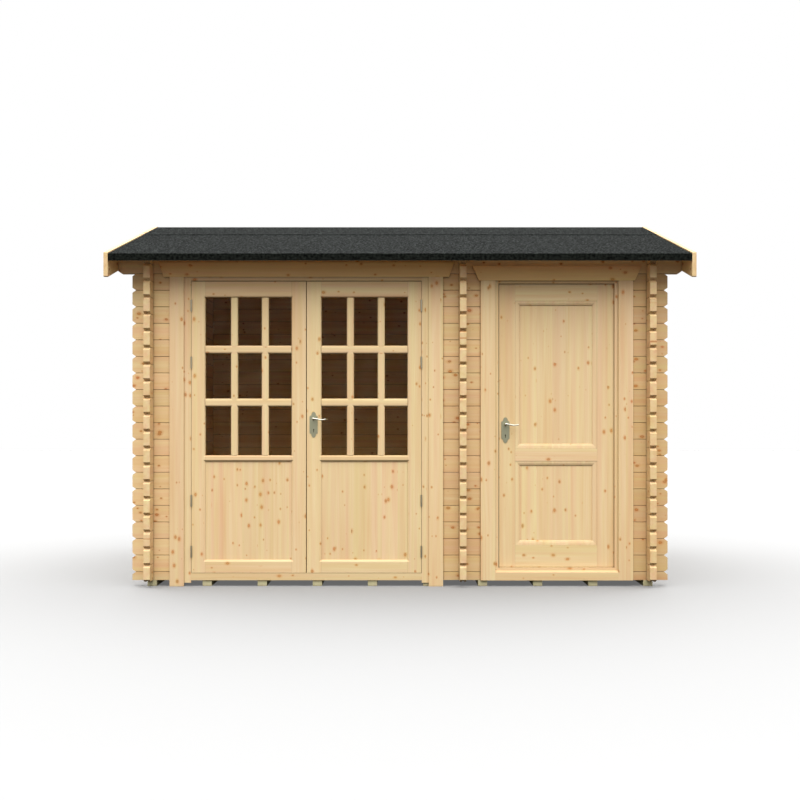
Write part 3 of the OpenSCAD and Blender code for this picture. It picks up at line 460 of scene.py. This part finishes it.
def addLipping(name, leaf, hingeSide, body):      # hingeSide is -1 on the left and 1 on the right
    low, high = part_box(leaf)
    inner, far = (low[0], high[0]) if hingeSide < 0 else (high[0], low[0])
    outer = inner + hingeSide * lipping["side"]
    foot = low[2] - lipping["foot"]
    outline = [(outer, foot), (far, foot), (far, low[2]), (inner, low[2]), (inner, high[2]), (outer, high[2])]
    front, back = low[1] + lipping["setBack"], high[1] - lipping["setBack"]
    points, faces = [], []
    addPrism(points, faces, [(x, front, z) for x, z in outline], [(x, back, z) for x, z in outline])
    addPiece(name, points, faces, nodes[leaf].material_slots[0].material, body)


addLipping("leftLeafLipping", "left_leaf", -1, "left_door")
addLipping("rightLeafLipping", "right_leaf", 1, "right_door")

# Planed whitewood roofing boards, fascias and bargeboards: browner than the joinery, with darker knots
boardLook = dict(early="#ebcd9b", late="#cb9556", knot="#c3854a", rim="#a3683a", tone=0.05, pith=0.2,
                 knotSize=0.009)
barge = softwood("planedWhitewoodBargeboards", "Y", 0.9, -2.0, 21.0, **boardLook)
fascia = softwood("planedWhitewoodFascias", "X", 0.9, -2.0, 22.0, **boardLook)
dress(barge, "front_left_bargeboard", "front_right_bargeboard", "back_left_bargeboard",
      "back_right_bargeboard")
dress(fascia, "front_eaves_board", "back_eaves_board")

roofDeck = {"boardWidth": 0.09, "pitch": 17.6, "groove": 0.004, "gap": 0.0004}  # pitch in degrees


def layRoofDeck(name, node, toEaves, seed):       # boards from ridge to eaves, with V-grooves underneath
    low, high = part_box(node)
    eaves, ridge = (low[1], high[1]) if toEaves < 0 else (high[1], low[1])
    rise = math.tan(math.radians(roofDeck["pitch"])) * (high[1] - low[1])
    thick = high[2] - low[2] - rise
    count = round((high[0] - low[0]) / roofDeck["boardWidth"])
    width = (high[0] - low[0]) / count
    gap, groove = roofDeck["gap"], roofDeck["groove"]
    points, faces = [], []
    for i in range(count):
        left, right = low[0] + i * width + gap, low[0] + (i + 1) * width - gap
        outline = [(left, groove), (left + groove, 0), (right - groove, 0), (right, groove), (right, thick),
                   (left, thick)]
        addPrism(points, faces, [(x, eaves, low[2] + z) for x, z in outline],
                 [(x, ridge, low[2] + rise + z) for x, z in outline])
    boards = softwood(name + "Whitewood", "flatY", width, low[0], seed, **boardLook)
    addPiece(name, points, faces, boards, "cabin", node)


layRoofDeck("frontRoofDeck", "front_roof_boards", -1, 23.0)
layRoofDeck("backRoofDeck", "back_roof_boards", 1, 25.0)

floorDeck = {"boardWidth": 0.09, "edge": 0.0015, "gap": 0.0006, "clear": 0.001}


def layFloor():                                   # boards along both rooms, cut off beside the door frames
    low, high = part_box("floor")
    wallLow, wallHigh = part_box("partition_wall")
    clear, gap, edge = floorDeck["clear"], floorDeck["gap"], floorDeck["edge"]
    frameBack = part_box("double_left_jamb")[1][1] + clear / 2
    rooms = [(low[0], wallLow[0] - clear), (wallHigh[0] + clear, high[0])]
    count = round((high[1] - frameBack) / floorDeck["boardWidth"])
    width = (high[1] - frameBack) / count
    rows = [(left, right, frameBack + i * width, frameBack + (i + 1) * width)
            for left, right in rooms for i in range(count)]
    beside = [(low[0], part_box("double_left_jamb")[0][0]), (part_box("double_right_jamb")[1][0], rooms[0][1]),
              (rooms[1][0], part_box("single_left_post")[0][0]), (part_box("single_right_post")[1][0], high[0])]
    rows += [(left + clear, right - clear, low[1], frameBack) for left, right in beside]
    points, faces = [], []
    for left, right, front, back in rows:
        front, back = front + gap, back - gap
        outline = [(front, low[2]), (back, low[2]), (back, high[2] - edge), (back - edge, high[2]),
                   (front + edge, high[2]), (front, high[2] - edge)]
        addPrism(points, faces, [(left, y, z) for y, z in outline], [(right, y, z) for y, z in outline])
    boards = softwood("floorWhitewood", "flatX", width, frameBack, 24.0, **boardLook)
    addPiece("floorDeck", points, faces, boards, "cabin", "floor")


layFloor()
print("roof and floor boarded")

# Sawn softwood, pressure treated: green-grey salts over a rough cut
treated = softwood("sawnTreatedBearers", "Y", 0.379, -2.0, 31.0, early="#d8cfa6", late="#b0a070",
                   knot="#7b5f36", roughness=0.8)
dress(treated, "bearers")


# Mineral-surfaced roofing felt: crushed slate granules pressed into bitumen, matt and faintly sparkling
felt = {
    "granule": 0.0042,          # slate grit is 1 to 1.5 mm; drawn at three times that so that it shows
    "cluster": 0.016,           # granules lie thicker in some places than in others
    "clusterRange": (0.36, 0.64),
    "clusterShare": 0.5,        # of the tone; the rest is the single granule's
    "deep": "#010101",
    "face": "#0c0e0d",
    "pale": "#424644",
    "stops": (0.1, 0.5, 0.9),
    "bitumen": "#040504",       # the turned-down edges show bitumen, smudged with grit
    "smudge": "#232622",
    "upward": 0.5,              # faces that look up more than this are gritted
    "grit": 0.0006,             # how proud the granules stand
    "gritStrength": 0.7,
    "roughness": 0.85,
    "specular": 0.02,
}


def mineralFelt(name):
    material, tree = startMaterial(name)
    coordinates = addNode(tree, "TexCoord").outputs
    place = coordinates["Object"]
    grit = addNode(tree, "TexVoronoi", {"Vector": place, "Scale": 1 / felt["granule"]})
    tone = addNode(tree, "SeparateXYZ", {0: grit.outputs["Color"]}).outputs[0]
    cluster = addNode(tree, "TexNoise", {"Vector": place, "Scale": 1 / felt["cluster"], "Detail": 3.0})
    low, high = felt["clusterRange"]
    cluster = addNode(tree, "MapRange", {0: cluster, 1: low, 2: high})
    tone = addNode(tree, "Math", {0: tone, 1: 1 - felt["clusterShare"]}, operation="MULTIPLY")
    tone = addNode(tree, "Math", {0: cluster, 1: felt["clusterShare"], 2: tone}, operation="MULTIPLY_ADD")
    colour = addNode(tree, "ValToRGB", {0: tone})
    setStops(colour, list(zip(felt["stops"], (felt["deep"], felt["face"], felt["pale"]))))
    facing = addNode(tree, "SeparateXYZ", {0: coordinates["Normal"]}).outputs[2]
    gritted = addNode(tree, "Math", {0: facing, 1: felt["upward"]}, operation="GREATER_THAN")
    edge = addNode(tree, "Mix", {0: cluster, 6: linearColour(felt["bitumen"]),
                                 7: linearColour(felt["smudge"])}, data_type="RGBA").outputs[2]
    colour = addNode(tree, "Mix", {0: gritted, 6: edge, 7: colour}, data_type="RGBA").outputs[2]
    bump = addNode(tree, "Bump", {"Height": grit.outputs["Distance"], "Distance": felt["grit"],
                                  "Strength": felt["gritStrength"]})
    shader = addNode(tree, "BsdfPrincipled", {"Base Color": colour, "Roughness": felt["roughness"],
                                              "Normal": bump, "Specular IOR Level": felt["specular"]})
    addNode(tree, "OutputMaterial", {0: shader})
    return material


dress(mineralFelt("slateSurfacedFelt"), "front_felt", "back_felt", "ridge_felt")

# Float glass: clear, flat and hardly tinted, with a thin film of dust that greys what lies behind
glass = {
    "tint": "#fdf9ea",
    "dust": "#cfc8b8",
    "dustScale": 14.0,          # clouds of dust some 70 mm across
    "dustRange": (0.4, 0.8),
    "dustShare": 0.02,
    "gloss": 0.02,              # roughness of its mirror
    "mirror": 0.07,             # kept faint, or the white studio would wash the panes out
}


def floatGlass(name):
    material, tree = startMaterial(name)
    place = addNode(tree, "TexCoord").outputs["Object"]
    dust = addNode(tree, "TexNoise", {"Vector": place, "Scale": glass["dustScale"], "Detail": 5.0})
    low, high = glass["dustRange"]
    dust = addNode(tree, "MapRange", {0: dust, 1: low, 2: high, 3: 0.0, 4: glass["dustShare"]})
    clear = addNode(tree, "BsdfTransparent", {0: linearColour(glass["tint"])})
    film = addNode(tree, "BsdfDiffuse", {0: linearColour(glass["dust"])})
    shine = addNode(tree, "BsdfGlossy", {0: linearColour("#ffffff"), "Roughness": glass["gloss"]})
    mirror = addNode(tree, "Fresnel", {"IOR": 1.5})
    mirror = addNode(tree, "Math", {0: mirror, 1: glass["mirror"]}, operation="MULTIPLY")
    base = addNode(tree, "MixShader", {0: dust, 1: clear, 2: film})
    shader = addNode(tree, "MixShader", {0: mirror, 1: base, 2: shine})
    addNode(tree, "OutputMaterial", {0: shader})
    return material


dress(floatGlass("clearFloatGlass"), "left_leaf_glass", "right_leaf_glass")

metalBump = {"depth": 0.00004, "strength": 0.6}


def metal(name, colours, roughness, scale, spread):   # scale is marks to the metre along X, Y and Z
    material, tree = startMaterial(name)
    place = addNode(tree, "TexCoord").outputs["Object"]
    marks = addNode(tree, "VectorMath", {0: place, 1: scale}, operation="MULTIPLY")
    marks = addNode(tree, "TexNoise", {"Vector": marks, "Scale": 1.0, "Detail": 3.0})
    rough = addNode(tree, "MapRange", {0: marks, 3: roughness - spread, 4: roughness + spread})
    tint = addNode(tree, "Mix", {0: marks, 6: linearColour(colours[0]), 7: linearColour(colours[1])},
                   data_type="RGBA").outputs[2]
    bump = addNode(tree, "Bump", {"Height": marks, "Distance": metalBump["depth"],
                                  "Strength": metalBump["strength"]})
    shader = addNode(tree, "BsdfPrincipled", {"Base Color": tint, "Roughness": rough, "Metallic": 1.0,
                                              "Normal": bump})
    addNode(tree, "OutputMaterial", {0: shader})
    return material


# Satin nickel on zinc castings, brushed up and down in marks 0.4 mm wide and 8 mm long: a soft, even sheen
nickel = metal("satinNickelCast", ("#b3b296", "#94927a"), 0.42, (2500, 2500, 120), 0.07)
dress(nickel, "double_plates", "single_plates")
# Polished nickel of the levers, mottled by hands at 1 mm: brighter and sharper than their plates
brightNickel = metal("polishedNickelCast", ("#d3d1c4", "#c0beb0"), 0.26, (900, 900, 900), 0.04)
# Dark steel of the lock cases, blotched at 2.5 mm, and painted shade as well: dark and dull, so that the
# keyholes read as the shade inside them
lockCaseAndKeyholeShade = metal("lockCaseWithPaintedShade", ("#4a3d2e", "#33291e"), 0.5, (400, 400, 400), 0.08)
# Zinc-plated steel, a passivated skin blooming at 3 mm: slightly yellow and uneven
zinc = metal("zincPlatedSteel", ("#b9b299", "#9b988a"), 0.42, (300, 300, 300), 0.1)
dress(zinc, "frame_hinges", "left_leaf_hinges", "right_leaf_hinges", "single_leaf_hinges")

lever = {
    "hub": 0.008,               # half height of the grip where it starts
    "tip": 0.0047,              # and where it ends
    "taper": 0.35,
    "depth": 0.0049,            # half its depth from front to back
    "wave": 0.004,              # how far it goes up and down
    "waveTurn": 270.0,
    "steps": 24,
    "sides": 16,
    "endTurn": 16,              # degrees between the rings of its rounded ends
    "neck": 0.0064,
    "collar": 0.0079,
    "collarLength": 0.007,
}


def shapeLever(name, node, plates, body):         # a waved grip on each side of the leaf, and a neck between
    low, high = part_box(node)
    plateLow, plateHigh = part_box(plates)
    hub, tip, depth, wave = lever["hub"], lever["tip"], lever["depth"], lever["wave"]
    spindleX, spindleZ = low[0] + hub, high[2] - wave - hub
    reach = high[0] - tip - spindleX
    turns = [2 * math.pi * i / lever["sides"] for i in range(lever["sides"])]
    ends = [math.radians(angle) for angle in range(lever["endTurn"], 90, lever["endTurn"])]
    # a station is a place along the grip, the level of its middle there, and half its height and depth
    stations = [(hub * math.sin(-a), wave, hub * math.cos(a), depth * math.cos(a)) for a in reversed(ends)]
    for i in range(lever["steps"] + 1):
        t = i / lever["steps"]
        halfHeight = hub + (tip - hub) * t ** lever["taper"]
        stations.append((reach * t, wave * math.cos(math.radians(lever["waveTurn"] * t)), halfHeight, depth))
    stations += [(reach + tip * math.sin(a), 0.0, tip * math.cos(a), depth * math.cos(a)) for a in ends]
    points, faces = [], []
    middles = (low[1] + depth, high[1] - depth)
    for middle in middles:
        rings = [[(spindleX + x, middle + halfDepth * math.sin(a), spindleZ + z + halfHeight * math.cos(a))
                  for a in turns] for x, z, halfHeight, halfDepth in stations]
        addLoft(points, faces, rings)
    neck, collar, length = lever["neck"], lever["collar"], lever["collarLength"]
    front, back = plateLow[1], plateHigh[1]
    turned = [(middles[0], neck), (front - length, neck), (front - length / 2, collar), (front, collar),
              (back, collar), (back + length / 2, collar), (back + length, neck), (middles[1], neck)]
    addLoft(points, faces, [[(spindleX + r * math.sin(a), y, spindleZ + r * math.cos(a)) for a in turns]
                            for y, r in turned])
    addPiece(name, points, faces, brightNickel, body, node, smooth=True)


shapeLever("doubleDoorLever", "double_lever", "double_plates", "double_door_lever")
shapeLever("storeDoorLever", "single_lever", "single_plates", "store_door_lever")

keyhole = {
    "radius": 0.0043,
    "slot": 0.0185,             # from the middle of the round part down to the foot of the slot
    "slotHalf": 0.0021,
    "start": -60.0,             # the round part is drawn from here, anticlockwise in degrees
    "sweep": 300.0,
    "steps": 14,
    "drop": 0.072,              # below the spindle
    "plate": 0.003,             # thickness of the plates
    "clear": 0.0001,            # between the leaf and the case
    "thick": 0.0004,
}


def fitLockCase(name, plates, leverNode, body):   # the lock behind each keyhole, as a thin dark sheet that paints the shade inside it
    low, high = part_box(plates)
    leverLow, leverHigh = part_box(leverNode)
    x, z = leverLow[0] + lever["hub"], leverHigh[2] - lever["wave"] - lever["hub"] - keyhole["drop"]
    radius, slot, slotHalf, steps = (keyhole[key] for key in ("radius", "slot", "slotHalf", "steps"))
    angles = [math.radians(keyhole["start"] + keyhole["sweep"] * i / steps) for i in range(steps + 1)]
    outline = [(x + radius * math.cos(a), z + radius * math.sin(a)) for a in angles]
    outline += [(x - slotHalf, z - slot), (x + slotHalf, z - slot)]
    points, faces = [], []
    for face, out in ((low[1] + keyhole["plate"], -1), (high[1] - keyhole["plate"], 1)):
        near = face + out * keyhole["clear"]
        far = face + out * (keyhole["clear"] + keyhole["thick"])
        addPrism(points, faces, [(px, near, pz) for px, pz in outline], [(px, far, pz) for px, pz in outline])
    addPiece(name, points, faces, lockCaseAndKeyholeShade, body)


fitLockCase("doubleDoorLockCase", "double_plates", "double_lever", "right_door")
fitLockCase("storeDoorLockCase", "single_plates", "single_lever", "store_door")
print("metal and glass dressed")

studio = {
    "cameraPlace": (0.0, -8.025, 1.137),
    "lens": 45.1,
    "shiftY": 0.026,
    "clipEnd": 200.0,
    "horizonSky": 0.5,          # light from level with the cabin
    "zenithSky": 1.1,           # and from overhead
    "frontSun": 2.5,
    "backSun": 1.3,
    "sideSun": 0.9,
    "sunHeight": 50.0,
    "sunSpread": 55.0,
    "floorSize": 60.0,
    "floorSeen": 0.2,           # tone of the floor that the camera sees
    "floorLift": 0.13,          # its own faint glow
    "floorBounce": 0.03,        # and the tone that throws light back at the cabin, kept low
    "floorSun": 12.3,
    "floorSunSpread": 120.0,
    "floorSunTilt": 20.0,
}
view = bpy.data.cameras.new("studioCamera")
view.lens = studio["lens"]
view.shift_y = studio["shiftY"]
view.clip_end = studio["clipEnd"]
camera = bpy.data.objects.new("studioCamera", view)
camera.location = studio["cameraPlace"]
camera.rotation_euler = (math.radians(90), 0, 0)
scene.collection.objects.link(camera)
scene.camera = camera

# White paper floor: matt, with a faint glow of its own that keeps the cabin's shadow pale
paper, tree = startMaterial("whitePaperFloor")
rays = addNode(tree, "LightPath").outputs
bounce, shown = studio["floorBounce"], studio["floorSeen"]
matt = addNode(tree, "BsdfDiffuse", {0: (bounce, bounce, bounce, 1)})
white = addNode(tree, "BsdfDiffuse", {0: (shown, shown, shown, 1)})
lift = addNode(tree, "Emission", {0: linearColour("#ffffff"), 1: studio["floorLift"]})
white = addNode(tree, "AddShader", {0: white, 1: lift})
white = addNode(tree, "MixShader", {0: rays["Is Camera Ray"], 1: matt, 2: white})
addNode(tree, "OutputMaterial", {0: white})
half = studio["floorSize"] / 2
floorMesh = bpy.data.meshes.new("studioFloor")
floorMesh.from_pydata([(-half, -half, 0), (half, -half, 0), (half, half, 0), (-half, half, 0)], [],
                      [(0, 1, 2, 3)])
floorMesh.materials.append(paper)
floor = bpy.data.objects.new("studioFloor", floorMesh)
scene.collection.objects.link(floor)

# The suns round the cabin leave the floor out, and one wide sun of its own keeps it white and its shadow soft
notOnFloor = bpy.data.collections.new("litBySuns")
notOnFloor.objects.link(floor)
notOnFloor.collection_objects[0].light_linking.link_state = "EXCLUDE"
onFloor = bpy.data.collections.new("litByFloorSun")
onFloor.objects.link(floor)
spread, lean = studio["sunSpread"], 90 - studio["sunHeight"]
suns = [                                          # strength, then spread, lean and turn in degrees
    ("frontSun", studio["frontSun"], spread, lean, 0, notOnFloor),
    ("backSun", studio["backSun"], spread, lean, 180, notOnFloor),
    ("leftSun", studio["sideSun"], spread, lean, -90, notOnFloor),
    ("rightSun", studio["sideSun"], spread, lean, 90, notOnFloor),
    ("floorSun", studio["floorSun"], studio["floorSunSpread"], -studio["floorSunTilt"], 0, onFloor),
]
for name, strength, width, tilt, turn, lit in suns:
    sun = bpy.data.lights.new(name, "SUN")
    sun.energy = strength
    sun.angle = math.radians(width)
    lamp = bpy.data.objects.new(name, sun)
    lamp.rotation_euler = (math.radians(tilt), 0, math.radians(turn))
    lamp.light_linking.receiver_collection = lit
    scene.collection.objects.link(lamp)

# The camera and the mirrors see plain white; everything else is lit by a sky that is brighter overhead
world = bpy.data.worlds.new("studioSky")
world.use_nodes = True
tree = world.node_tree
tree.nodes.clear()
rays = addNode(tree, "LightPath").outputs
seen = addNode(tree, "Math", {0: rays["Is Camera Ray"], 1: rays["Is Glossy Ray"]}, operation="MAXIMUM")
seen = addNode(tree, "Math", {0: seen, 1: rays["Is Transmission Ray"]}, operation="MAXIMUM")
upward = addNode(tree, "SeparateXYZ", {0: addNode(tree, "TexCoord").outputs["Generated"]}).outputs[2]
upward = addNode(tree, "MapRange", {0: upward, 3: studio["horizonSky"], 4: studio["zenithSky"]})
level = addNode(tree, "Mix", {0: seen, 2: upward, 3: 1.0})
sky = addNode(tree, "Background", {0: linearColour("#ffffff"), 1: level})
addNode(tree, "OutputWorld", {0: sky})
scene.world = world
scene.view_settings.view_transform = "Standard"
print("studio ready")
